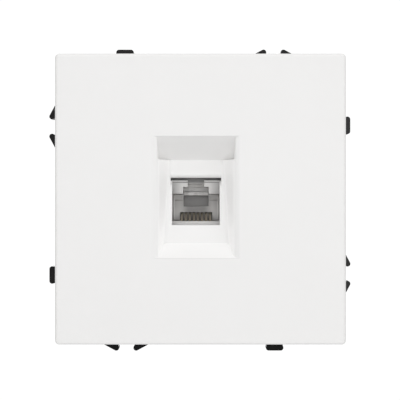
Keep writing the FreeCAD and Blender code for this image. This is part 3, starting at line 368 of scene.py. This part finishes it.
def matt_black():
    """Black carrier: glass-filled nylon, matt with a coarser grain and paler streaks of flow.
    Painted light makes it a little paler at the left and the top, and most at the right."""
    surface = Surface("carrier_black_matt", IOR=1.48, Specular_IOR_Level=0.09)
    streaks = surface.noise(3 * MM, detail=4.0, stretch=(1, 1, 2.5))
    surface.tint(streaks, *CARRIER_BLACKS)
    # Painted light: paler at the left and the top, and most at the right
    left_edge = surface.ramp("X", *(-place for place in CARRIER_EDGE))
    surface.overlay(left_edge, CARRIER_LEFT_PAINTED_LIGHT)
    surface.overlay(surface.ramp("Z", *CARRIER_EDGE), CARRIER_TOP_PAINTED_LIGHT)
    surface.overlay(surface.ramp("X", *CARRIER_EDGE), CARRIER_RIGHT_PAINTED_LIGHT)
    surface.roughness(surface.noise(0.6 * MM), 0.26, 0.40)
    surface.soften(0.18 * MM)
    surface.grain(surface.noise(0.12 * MM), depth=0.010 * MM, strength=0.6)
    return surface.material


def dark_grey():
    """Module housing: plain dark moulding."""
    surface = Surface("housing_dark_grey", IOR=1.48)
    surface.tint(surface.noise(5 * MM), (0.035, 0.035, 0.037), (0.050, 0.050, 0.052))
    surface.roughness(surface.noise(0.8 * MM), 0.40, 0.58)
    surface.soften(0.15 * MM)
    surface.grain(surface.noise(0.15 * MM, detail=2.0), depth=0.008 * MM, strength=0.5)
    return surface.material


def light_grey(name, dark, light):
    """Smooth light grey moulding, slightly cloudy."""
    surface = Surface(name, IOR=1.5)
    surface.tint(surface.noise(2.2 * MM), dark, light)
    surface.roughness(surface.noise(0.5 * MM), 0.30, 0.44)
    surface.soften(0.08 * MM)
    surface.grain(surface.noise(0.35 * MM, detail=2.0), depth=0.004 * MM, strength=0.5)
    return surface


# Bands on the socket shell and their greys, all painted light and shade: X from the shell's middle,
# Z in the record's frame, depths behind the shell's face, and the walls' back end from the shell's
# own back

SHELL_GREYS = (0.31, 0.304, 0.299), (0.36, 0.353, 0.347)
SHELL_FACE_Y = -1.8 * MM
# Painted light: the face paler beside the latch notch
NOTCH_SIDE_PAINTED_LIGHT = (0.56, 0.55, 0.54)
NOTCH_SIDE_X = (6.0 * MM, 3.0 * MM)
NOTCH_SIDE_Z = (0.8 * MM, 2.0 * MM)
# Painted shade in a band under the top edge, and a painted highlight along the edge
RIDGE_PAINTED_SHADE = (0.21, 0.205, 0.20)
RIDGE_SHADE_FOOT_Z = (3.95 * MM, 4.10 * MM)
RIDGE_SHADE_HEAD_Z = (4.40 * MM, 4.34 * MM)
RIDGE_PAINTED_HIGHLIGHT = (0.92, 0.91, 0.90)
RIDGE_Z = (4.36 * MM, 4.42 * MM)
# Painted light: paler outside the opening's sides
SHELL_SIDE_PAINTED_LIGHT = (0.95, 0.94, 0.93)
SHELL_SIDE_X = (5.80 * MM, 5.95 * MM)
# Painted light: the opening's walls and inward faces paler
WALL_PAINTED_LIGHT = (0.90, 0.89, 0.88)
WALL_DEPTHS = (0.02 * MM, 0.1 * MM)
WALL_BACK = (-2.5 * MM, -2.7 * MM)
INNER_PAINTED_LIGHT = (0.84, 0.83, 0.82)
INNER_TURN = (-0.80, -0.90)
INNER_DEPTHS = (0.3 * MM, 0.4 * MM)
# Painted shade: the notch's steps darker towards its roof
STEP_PAINTED_SHADE = (0.40, 0.39, 0.385)
STEP_Z = (3.74 * MM, 3.82 * MM)
ROOF_PAINTED_SHADE = (0.20, 0.196, 0.193)
ROOF_Z = (3.95 * MM, 4.4 * MM)
# Painted light: the lower lip paler, most of all in its middle
LIP_PAINTED_LIGHT = (0.70, 0.69, 0.68)
LIP_Z = (-5.35 * MM, -5.55 * MM)
LIP_MIDDLE_PAINTED_LIGHT = (0.80, 0.79, 0.78)
LIP_MIDDLE_X = (6.2 * MM, 2.5 * MM)


def socket_grey():
    """Socket shell: painted light makes its face paler beside the latch notch, at the lower lip,
    most of all in its middle, and outside the opening's sides, and makes the walls and inward faces
    of its opening paler. A painted highlight runs along its top edge over a band of painted shade,
    and painted shade darkens the notch's steps towards its roof."""
    surface = light_grey("socket_shell_grey", *SHELL_GREYS)
    middle = middle_x("jack_shell")
    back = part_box("jack_shell")[1].y
    notch_sides = surface.both(
        surface.ramp("X", *NOTCH_SIDE_X, middle),
        surface.ramp("Z", *NOTCH_SIDE_Z),
    )
    # Painted light: the face paler beside the latch notch
    surface.overlay(notch_sides, NOTCH_SIDE_PAINTED_LIGHT)
    # Painted shade in a band under the top edge, then a painted highlight along the edge
    shade = surface.both(
        surface.ramp("Z", *RIDGE_SHADE_FOOT_Z),
        surface.ramp("Z", *RIDGE_SHADE_HEAD_Z),
    )
    surface.overlay(shade, RIDGE_PAINTED_SHADE)
    surface.overlay(surface.ramp("Z", *RIDGE_Z), RIDGE_PAINTED_HIGHLIGHT)
    # Painted light: paler outside the opening's sides
    surface.overlay(surface.ramp("X", *SHELL_SIDE_X, middle), SHELL_SIDE_PAINTED_LIGHT)
    # Painted light: the opening's walls and inward faces paler
    walls = surface.both(
        surface.ramp("Y", *shifted(SHELL_FACE_Y, WALL_DEPTHS)),
        surface.ramp("Y", *shifted(back, WALL_BACK)),
    )
    surface.overlay(walls, WALL_PAINTED_LIGHT)
    inner = surface.both(
        surface.facing("Y", *INNER_TURN),
        surface.ramp("Y", *shifted(SHELL_FACE_Y, INNER_DEPTHS)),
    )
    surface.overlay(inner, INNER_PAINTED_LIGHT)
    # Painted shade: the notch's steps darker towards its roof
    surface.overlay(surface.both(inner, surface.ramp("Z", *STEP_Z)), STEP_PAINTED_SHADE)
    surface.overlay(surface.both(inner, surface.ramp("Z", *ROOF_Z)), ROOF_PAINTED_SHADE)
    # Painted light: the lower lip paler, most of all in its middle
    lip = surface.ramp("Z", *LIP_Z)
    surface.overlay(lip, LIP_PAINTED_LIGHT)
    lip_middle = surface.both(lip, surface.ramp("X", *LIP_MIDDLE_X, middle))
    surface.overlay(lip_middle, LIP_MIDDLE_PAINTED_LIGHT)
    return surface.material


# Bands on the comb and their greys, all painted light, shade and reflection: X from the comb's
# middle, Y and Z in the record's frame

COMB_GREYS = (0.29, 0.283, 0.280), (0.34, 0.333, 0.328)
COMB_SIDE_PAINTED_LIGHT = (0.72, 0.71, 0.70)
COMB_SIDE_X = (1.8 * MM, 4.4 * MM)
# Painted shadow: a faint line across the comb
SHADOW_LINE_GREY = (0.52, 0.51, 0.50)
SHADOW_LINE_FOOT_Z = (-0.55 * MM, -0.42 * MM)
SHADOW_LINE_HEAD_Z = (-0.12 * MM, -0.25 * MM)
COMB_FOOT_PAINTED_SHADE = (0.50, 0.49, 0.48)
COMB_FOOT_Z = (-3.6 * MM, -5.6 * MM)
RIM_PAINTED_LIGHT = (0.98, 0.97, 0.96)
RIM_X = (5.35 * MM, 5.65 * MM)
RIM_Z = (-5.4 * MM, -3.4 * MM)
COMB_HEAD_PAINTED_LIGHT = (0.72, 0.71, 0.70)
COMB_HEAD_Z = (0.85 * MM, 0.95 * MM)
POCKET_PAINTED_SHADE = (0.30, 0.293, 0.288)
POCKET_Y = (9.75 * MM, 9.95 * MM)
SLOT_PAINTED_REFLECTION = (0.30, 0.27, 0.235)
SLOT_Z = (-2.9 * MM, -3.1 * MM)
BAR_PAINTED_HIGHLIGHT = (0.97, 0.96, 0.95)
BAR_FOOT_Z = (0.95 * MM, 1.05 * MM)
BAR_HEAD_Z = (1.75 * MM, 1.65 * MM)
BAR_END_X = (3.2 * MM, 3.1 * MM)
BAR_GLINT_SPREAD = (0.40, 0.60)


def comb_grey():
    """Comb: painted light makes it pale at its sides, most of all along their rim, and behind the
    latch notch, with a faint painted shadow line across. Painted shade makes it darker in its
    pocket and below it, a painted reflection makes it brown between the contacts, and a painted
    highlight lies in cloudy blobs along the pocket's top."""
    surface = light_grey("socket_comb_grey", *COMB_GREYS)
    middle = middle_x("contact_comb")
    # Painted light: the comb paler at its sides
    surface.overlay(surface.ramp("X", *COMB_SIDE_X, middle), COMB_SIDE_PAINTED_LIGHT)
    # Painted shadow: a faint line across the comb
    shadow_line = surface.both(surface.ramp("Z", *SHADOW_LINE_FOOT_Z), surface.ramp("Z", *SHADOW_LINE_HEAD_Z))
    surface.overlay(shadow_line, SHADOW_LINE_GREY)
    # Painted shade: the comb darker towards its foot
    surface.overlay(surface.ramp("Z", *COMB_FOOT_Z), COMB_FOOT_PAINTED_SHADE)
    # Painted light: the rim of the sides paler
    rim = surface.both(surface.ramp("X", *RIM_X, middle), surface.ramp("Z", *RIM_Z))
    surface.overlay(rim, RIM_PAINTED_LIGHT)
    # Painted light: the comb paler behind the latch notch
    surface.overlay(surface.ramp("Z", *COMB_HEAD_Z), COMB_HEAD_PAINTED_LIGHT)
    # Painted shade: the pocket darker
    pocket = surface.ramp("Y", *POCKET_Y)
    surface.overlay(pocket, POCKET_PAINTED_SHADE)
    # Painted reflection: brown from the gold contacts between them
    surface.overlay(surface.both(pocket, surface.ramp("Z", *SLOT_Z)), SLOT_PAINTED_REFLECTION)
    # Painted highlight: cloudy bright blobs along the bar at the pocket's top
    glint_blobs = surface.noise(1.5 * MM, detail=1.0)
    bar = surface.both(
        surface.ramp("Z", *BAR_FOOT_Z),
        surface.ramp("Z", *BAR_HEAD_Z),
        surface.ramp("X", *BAR_END_X, middle),
        surface.spread(glint_blobs, 0.0, 1.0, *BAR_GLINT_SPREAD, "SMOOTHSTEP"),
    )
    surface.overlay(bar, BAR_PAINTED_HIGHLIGHT)
    return surface.material


def natural_white():
    """Terminal blocks: glossy natural white moulding."""
    surface = Surface("terminal_natural_white", IOR=1.52)
    surface.tint(surface.noise(4 * MM, detail=2.0), (0.66, 0.65, 0.60), (0.72, 0.71, 0.67))
    surface.roughness(surface.noise(0.9 * MM), 0.28, 0.42)
    surface.soften(0.12 * MM)
    return surface.material


def zinc_steel():
    """Zinc plated sheet: bright spangle, rolling lines along Z and a few dull patches."""
    surface = Surface("zinc_plated_sheet", Metallic=1.0)
    surface.tint(surface.noise(6 * MM, detail=5.0), (0.50, 0.505, 0.51), (0.66, 0.66, 0.65))
    patches = surface.noise(2 * MM, detail=4.0, stretch=(1, 1, 8))
    surface.roughness(patches, 0.26, 0.48)
    surface.soften(0.12 * MM)
    lines = surface.noise(0.10 * MM, detail=2.0, stretch=(1, 1, 40))
    surface.grain(lines, depth=0.004 * MM, strength=0.5)
    return surface.material


def plated_screw():
    """Yellowish zinc plating on the screws."""
    surface = Surface("screw_zinc_plating", Metallic=1.0)
    surface.tint(surface.noise(0.8 * MM), (0.52, 0.47, 0.33), (0.66, 0.63, 0.52))
    surface.roughness(surface.noise(0.4 * MM), 0.22, 0.40)
    return surface.material


def contact_gold():
    """Gold flash over bronze: darker and browner where the flash thins."""
    surface = Surface("contact_gold_flash", Metallic=1.0)
    surface.tint(surface.noise(0.9 * MM), (0.68, 0.60, 0.48), (0.95, 0.86, 0.71))
    surface.roughness(surface.noise(0.3 * MM), 0.36, 0.55)
    return surface.material


def blade_tin(name):
    """Tin: greyish white with a soft gloss, drawn out along Y."""
    surface = Surface(name, Metallic=1.0)
    surface.tint(surface.noise(0.7 * MM), (0.55, 0.55, 0.54), (0.70, 0.69, 0.67))
    surface.roughness(surface.noise(0.3 * MM, stretch=(1, 6, 1)), 0.24, 0.40)
    return surface.material


def solder_resist(name, dark, light):
    """Glass fibre board under green solder resist, with a faint weave."""
    surface = Surface(name, IOR=1.5)
    surface.tint(surface.noise(5 * MM), dark, light)
    surface.roughness(surface.noise(1.0 * MM), 0.25, 0.36)
    weave = surface.node("ShaderNodeTexVoronoi", Scale=1 / (0.5 * MM))
    surface.link(surface.place, weave.inputs["Vector"])
    surface.soften(0.06 * MM)
    surface.grain(weave.outputs["Distance"], depth=0.004 * MM, strength=0.4)
    return surface.material


def pale_floor():
    """Plain pale floor."""
    surface = Surface("floor_pale", Roughness=0.8)
    surface.tint(surface.noise(300 * MM, detail=2.0), (0.80, 0.80, 0.80), (0.84, 0.84, 0.84))
    return surface.material


BOARD_GREENS = (0.010, 0.085, 0.035), (0.016, 0.120, 0.050)
TRACK_GREENS = (0.030, 0.190, 0.080), (0.040, 0.235, 0.100)


def paint(names, material):
    """Give nodes one material in all their slots."""
    for name in names:
        slots = NODES[name].data.materials
        slots.clear()
        slots.append(material)


def paint_nodes():
    """Dress the nodes that stay as they are."""
    paint(["front_cover"], satin_white())
    paint(["carrier_frame"], matt_black())
    paint(["module_housing"], dark_grey())
    paint(["jack_shell"], socket_grey())
    paint(["contact_comb"], comb_grey())
    paint(["terminal_block_left", "terminal_block_right"], natural_white())
    paint(["support_plate"], zinc_steel())
    paint(BLADE_NAMES, blade_tin("blade_tin_plating"))
    paint(["circuit_board"], solder_resist("board_solder_resist", *BOARD_GREENS))


# New pieces: closed skins over rings of points, worked out as whole arrays

def turns(count):
    """Even angles round a full circle, in radians."""
    return np.linspace(0, 2 * np.pi, count, endpoint=False)


def skin(rings):
    """Points and faces of a tube through rings of points: neighbours on a ring and on the next
    ring make each four-cornered face, and triangles to its mean point close each end ring.
    Faces are turned outwards by the sign of the volume: six times it is the sum, over all
    triangles, of the first corner's product with the cross product of the other two."""
    rows, columns, _ = rings.shape
    index = np.arange(rows * columns).reshape(rows, columns)
    after = np.roll(index, -1, axis=1)
    quads = np.stack([index[:-1], after[:-1], after[1:], index[1:]], axis=-1).reshape(-1, 4)
    first, last = np.full(columns, rows * columns), np.full(columns, rows * columns + 1)
    caps = np.concatenate([
        np.stack([after[0], index[0], first], axis=-1),
        np.stack([index[-1], after[-1], last], axis=-1),
    ])
    points = np.concatenate([rings.reshape(-1, 3), rings[[0, -1]].mean(axis=1)])
    corners = np.concatenate([quads[:, [0, 1, 2]], quads[:, [0, 2, 3]], caps])
    a, b, c = (points[corners[:, i]] - points.mean(axis=0) for i in range(3))
    if np.einsum("ij,ij->", a, np.cross(b, c)) < 0:
        quads, caps = quads[:, ::-1], caps[:, ::-1]
    return points, quads.tolist() + caps.tolist()


def add_piece(name, skins, material, replaced=()):
    """Join skins into one smooth mesh that rides on the part's body."""
    points, faces, start = [], [], 0
    for corners, parts in skins:
        faces += [[corner + start for corner in part] for part in parts]
        points.append(corners)
        start += len(corners)
    mesh = bpy.data.meshes.new(name)
    mesh.from_pydata(np.concatenate(points).tolist(), [], faces)
    mesh.polygons.foreach_set("use_smooth", [True] * len(mesh.polygons))
    mesh.materials.append(material)
    mesh.update()
    piece = bpy.data.objects.new(name, mesh)
    put(piece)
    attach(piece, "root")
    if replaced:
        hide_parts(*replaced)


def soft_rectangle(half_a, half_b, power=4.0, count=24):
    """Closed outline: the two half sizes times the turn's cosine and sine, each raised to 2/power
    with its sign kept, so it is a rectangle with soft corners."""
    across, along = np.cos(turns(count)), np.sin(turns(count))
    return np.stack([
        half_a * np.sign(across) * np.abs(across) ** (2 / power),
        half_b * np.sign(along) * np.abs(along) ** (2 / power),
    ], axis=-1)


def bent_path(corners, radius, steps=8):
    """Straight runs joined by arcs: at each inner corner the points lie on the circle that
    touches both its runs, at even angles from the first touch to the second."""
    corners = np.asarray(corners, dtype=float)
    path = [corners[:1]]
    for before, corner, after in zip(corners[:-2], corners[1:-1], corners[2:]):
        back = (before - corner) / np.linalg.norm(before - corner)
        ahead = (after - corner) / np.linalg.norm(after - corner)
        half = np.arccos(np.clip(back @ ahead, -1, 1)) / 2
        middle = corner + (back + ahead) / np.linalg.norm(back + ahead) * radius / np.sin(half)
        first = corner + back * radius / np.tan(half) - middle
        angle = np.linspace(0, np.pi - 2 * half, steps)[:, None]
        path.append(middle + first * np.cos(angle) - back * radius * np.sin(angle))
    path.append(corners[-1:])
    return np.concatenate(path)


def strip(path, outline, fixed):
    """Rings of an outline carried along a flat path: its first coordinate runs along the fixed
    direction, square to the path's plane, and its second along the path's own normal."""
    tangent = np.gradient(path, axis=0)
    tangent /= np.linalg.norm(tangent, axis=1, keepdims=True)
    fixed = np.asarray(fixed, dtype=float)
    normal = np.cross(tangent, fixed)
    return (
        path[:, None, :]
        + outline[None, :, :1] * fixed
        + outline[None, :, 1:] * normal[:, None, :]
    )


def turned(x, z, radius, depth, count):
    """Rings about a line along Y: X and Z are a radius times the turn's cosine and sine, and Y is
    the depth. Both may be numbers per ring, or grids of rings by turns."""
    turn = turns(count)
    radius = np.broadcast_to(radius, (len(radius), count))
    depth = np.broadcast_to(depth, (len(radius), count))
    return np.stack([x + radius * np.cos(turn), depth, z + radius * np.sin(turn)], axis=-1)


# Contacts: round-edged spring strips on the path of the contact nodes

STRIP_THICK = 0.30 * MM
STRIP_WIDTH = 0.46 * MM
BEND_RADIUS = 0.33 * MM
NOSE_RISE = 0.74 * MM
FREE_END_Y = 10.4 * MM


def make_contacts():
    """Each wire: flat run from the tail, hairpin bend at the front, and the rising free end."""
    gold = contact_gold()
    half = STRIP_THICK / 2
    section = soft_rectangle(STRIP_WIDTH / 2, half)
    for name in CONTACT_NAMES:
        low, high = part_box(name)
        x, nose = middle_x(name), low.y + half
        path = bent_path([
            (x, high.y, low.z + half),
            (x, nose, low.z + half),
            (x, nose, low.z + half + NOSE_RISE),
            (x, FREE_END_Y, high.z - half),
        ], BEND_RADIUS)
        rings = strip(path, section, (1, 0, 0))
        add_piece(f"spring_{name}", [skin(rings)], gold, [name])


# Screws: low domed heads with a cross recess on threaded shanks

HEAD_RADIUS = 2.2 * MM
HEAD_HEIGHT = 1.4 * MM
HEAD_CHAMFER = 0.05 * MM
CROWN = 0.45 * MM
CROWN_EDGE = 0.08 * MM
CROWN_SHARES = (0.02, 0.97)
CROWN_RINGS = 44
CROSS_HALF = 0.30 * MM
CROSS_SIDE_FADE = 0.08 * MM
CROSS_ARM = 1.15 * MM
CROSS_END_FADE = 0.35 * MM
CROSS_DEPTH = 0.75 * MM
SHANK_RADIUS = 1.25 * MM
THREAD_START = 0.1 * MM
THREAD_DEPTH = 0.16 * MM
THREAD_PITCH = 0.5 * MM
THREAD_RINGS = 110
TIP_LENGTH = 0.3 * MM
TIP_SHARE = 0.72
SCREW_SIDES = 96


def screw(x, z, crown_y, way, length):
    """One screw as rings from its crown to its tip. The crown's depth grows with the square of the
    radius, less a cross that fades where a point is outside its arms. The shank's radius rises and
    falls with the depth's share of a pitch plus the turn's share of a circle."""
    turn = turns(SCREW_SIDES)[None, :]
    share = np.linspace(*CROWN_SHARES, CROWN_RINGS)[:, None]
    radius = HEAD_RADIUS * share
    across, along = np.abs(radius * np.cos(turn)), np.abs(radius * np.sin(turn))
    beside, reach = np.minimum(across, along), np.maximum(across, along)
    arm = np.clip((CROSS_HALF - beside) / CROSS_SIDE_FADE + 0.5, 0, 1)
    arm *= np.clip((CROSS_ARM - reach) / CROSS_END_FADE + 0.5, 0, 1)
    crown = CROWN * share ** 2 + CROSS_DEPTH * arm
    rim = np.array([
        (HEAD_RADIUS, CROWN + CROWN_EDGE),
        (HEAD_RADIUS, HEAD_HEIGHT - HEAD_CHAMFER),
        (HEAD_RADIUS - HEAD_CHAMFER, HEAD_HEIGHT),
        (SHANK_RADIUS, HEAD_HEIGHT),
    ])
    depth = np.linspace(HEAD_HEIGHT + THREAD_START, length - TIP_LENGTH, THREAD_RINGS)[:, None]
    phase = (depth / THREAD_PITCH + turn / (2 * np.pi)) % 1
    groove = THREAD_DEPTH * np.abs(2 * phase - 1)
    tip = np.array([(SHANK_RADIUS * TIP_SHARE, length)])
    rings = np.concatenate([
        turned(x, z, radius, crown, SCREW_SIDES),
        turned(x, z, rim[:, :1], rim[:, 1:], SCREW_SIDES),
        turned(x, z, SHANK_RADIUS - groove, depth, SCREW_SIDES),
        turned(x, z, tip[:, :1], tip[:, 1:], SCREW_SIDES),
    ])
    rings[:, :, 1] = crown_y + way * rings[:, :, 1]
    return skin(rings)


def make_screws():
    """The two frame screws, heads to the front, and the two board screws, heads to the back."""
    plating = plated_screw()
    low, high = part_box("frame_screws")
    z, length = (low.z + high.z) / 2, high.y - low.y
    places = [(low.x + HEAD_RADIUS, z), (high.x - HEAD_RADIUS, z)]
    skins = [screw(x, z, low.y, 1, length) for x, z in places]
    add_piece("flange_screws", skins, plating, ["frame_screws"])
    low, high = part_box("board_screws")
    length = high.y - low.y
    places = [
        (low.x + HEAD_RADIUS, low.z + HEAD_RADIUS),
        (high.x - HEAD_RADIUS, high.z - HEAD_RADIUS),
    ]
    skins = [screw(x, z, high.y, -1, length) for x, z in places]
    add_piece("board_fixing_screws", skins, plating, ["board_screws"])


# Board: solder on the contact tails, and tracks from them to the terminals

SOLDER_RADIUS = 0.44 * MM
SOLDER_HEIGHT = 0.72 * MM
SOLDER_WAIST = 0.45
SOLDER_TIP = 0.7
SOLDER_RINGS = 14
SOLDER_SIDES = 28
TRACK_WIDTH = 0.34 * MM
TRACK_RAISE = 0.04 * MM
TRACK_SQUARENESS = 6.0
TRACK_SIDES = 16
TRACK_TURN = 0.7 * MM
TOP_TRACK_Z = 5.6 * MM
TERMINAL_PITCH = 3.3 * MM
LOWER_ROWS = (-1.5, -0.5, 0.5)


def tail_places():
    """Middle of each contact tail on the board, and the board's back face."""
    places = [(middle_x(name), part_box(name)[0].z + STRIP_THICK / 2) for name in CONTACT_NAMES]
    return places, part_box("circuit_board")[1].y


def make_solder():
    """A cone of solder round each tail: its radius falls to a waist with the cube of the height
    left."""
    places, back = tail_places()
    rise = np.linspace(0, 1, SOLDER_RINGS)[:, None]
    radius = SOLDER_RADIUS * (SOLDER_WAIST + (1 - SOLDER_WAIST) * (1 - rise) ** 3)
    radius[-1] *= SOLDER_TIP
    depth = back + SOLDER_HEIGHT * rise
    skins = [skin(turned(x, z, radius, depth, SOLDER_SIDES)) for x, z in places]
    add_piece("tail_solder", skins, blade_tin("tail_solder_tin"))


def make_tracks():
    """Copper tracks under the resist: up from each tail, through 45 degrees, and out to a block."""
    places, back = tail_places()
    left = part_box("terminal_block_left")[1].x
    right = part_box("terminal_block_right")[0].x
    rows = [share * TERMINAL_PITCH for share in LOWER_ROWS] + [TOP_TRACK_Z]
    section = soft_rectangle(TRACK_RAISE, TRACK_WIDTH / 2, TRACK_SQUARENESS, TRACK_SIDES)
    skins = []
    for number, (x, z) in enumerate(places):
        outwards, end = (-1, left) if number < len(places) / 2 else (1, right)
        row = rows[min(number, len(places) - 1 - number)]
        path = bent_path([
            (x, back, z),
            (x, back, row - TRACK_TURN),
            (x + TRACK_TURN * outwards, back, row),
            (end, back, row),
        ], TRACK_TURN / 2)
        skins.append(skin(strip(path, section, (0, 1, 0))))
    resist = solder_resist("track_solder_resist", *TRACK_GREENS)
    add_piece("board_tracks", skins, resist)


# Floor: a disc well below the part, which hangs where the wall would hold it

FLOOR_DROP = 85 * MM
FLOOR_RADIUS = 420 * MM
FLOOR_SIDES = 96


def make_floor():
    """A round floor under the part: radius times the turn's cosine and sine."""
    turn = turns(FLOOR_SIDES)
    height = np.full(FLOOR_SIDES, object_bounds()[0].z - FLOOR_DROP)
    rim = np.stack([FLOOR_RADIUS * np.cos(turn), FLOOR_RADIUS * np.sin(turn), height], axis=1)
    mesh = bpy.data.meshes.new("floor")
    mesh.from_pydata(rim.tolist(), [], [list(range(FLOOR_SIDES))])
    mesh.materials.append(pale_floor())
    floor = bpy.data.objects.new("floor", mesh)
    put(floor)


make_camera()
make_room()
make_lights()
make_floor()
paint_nodes()
make_contacts()
make_screws()
make_solder()
make_tracks()
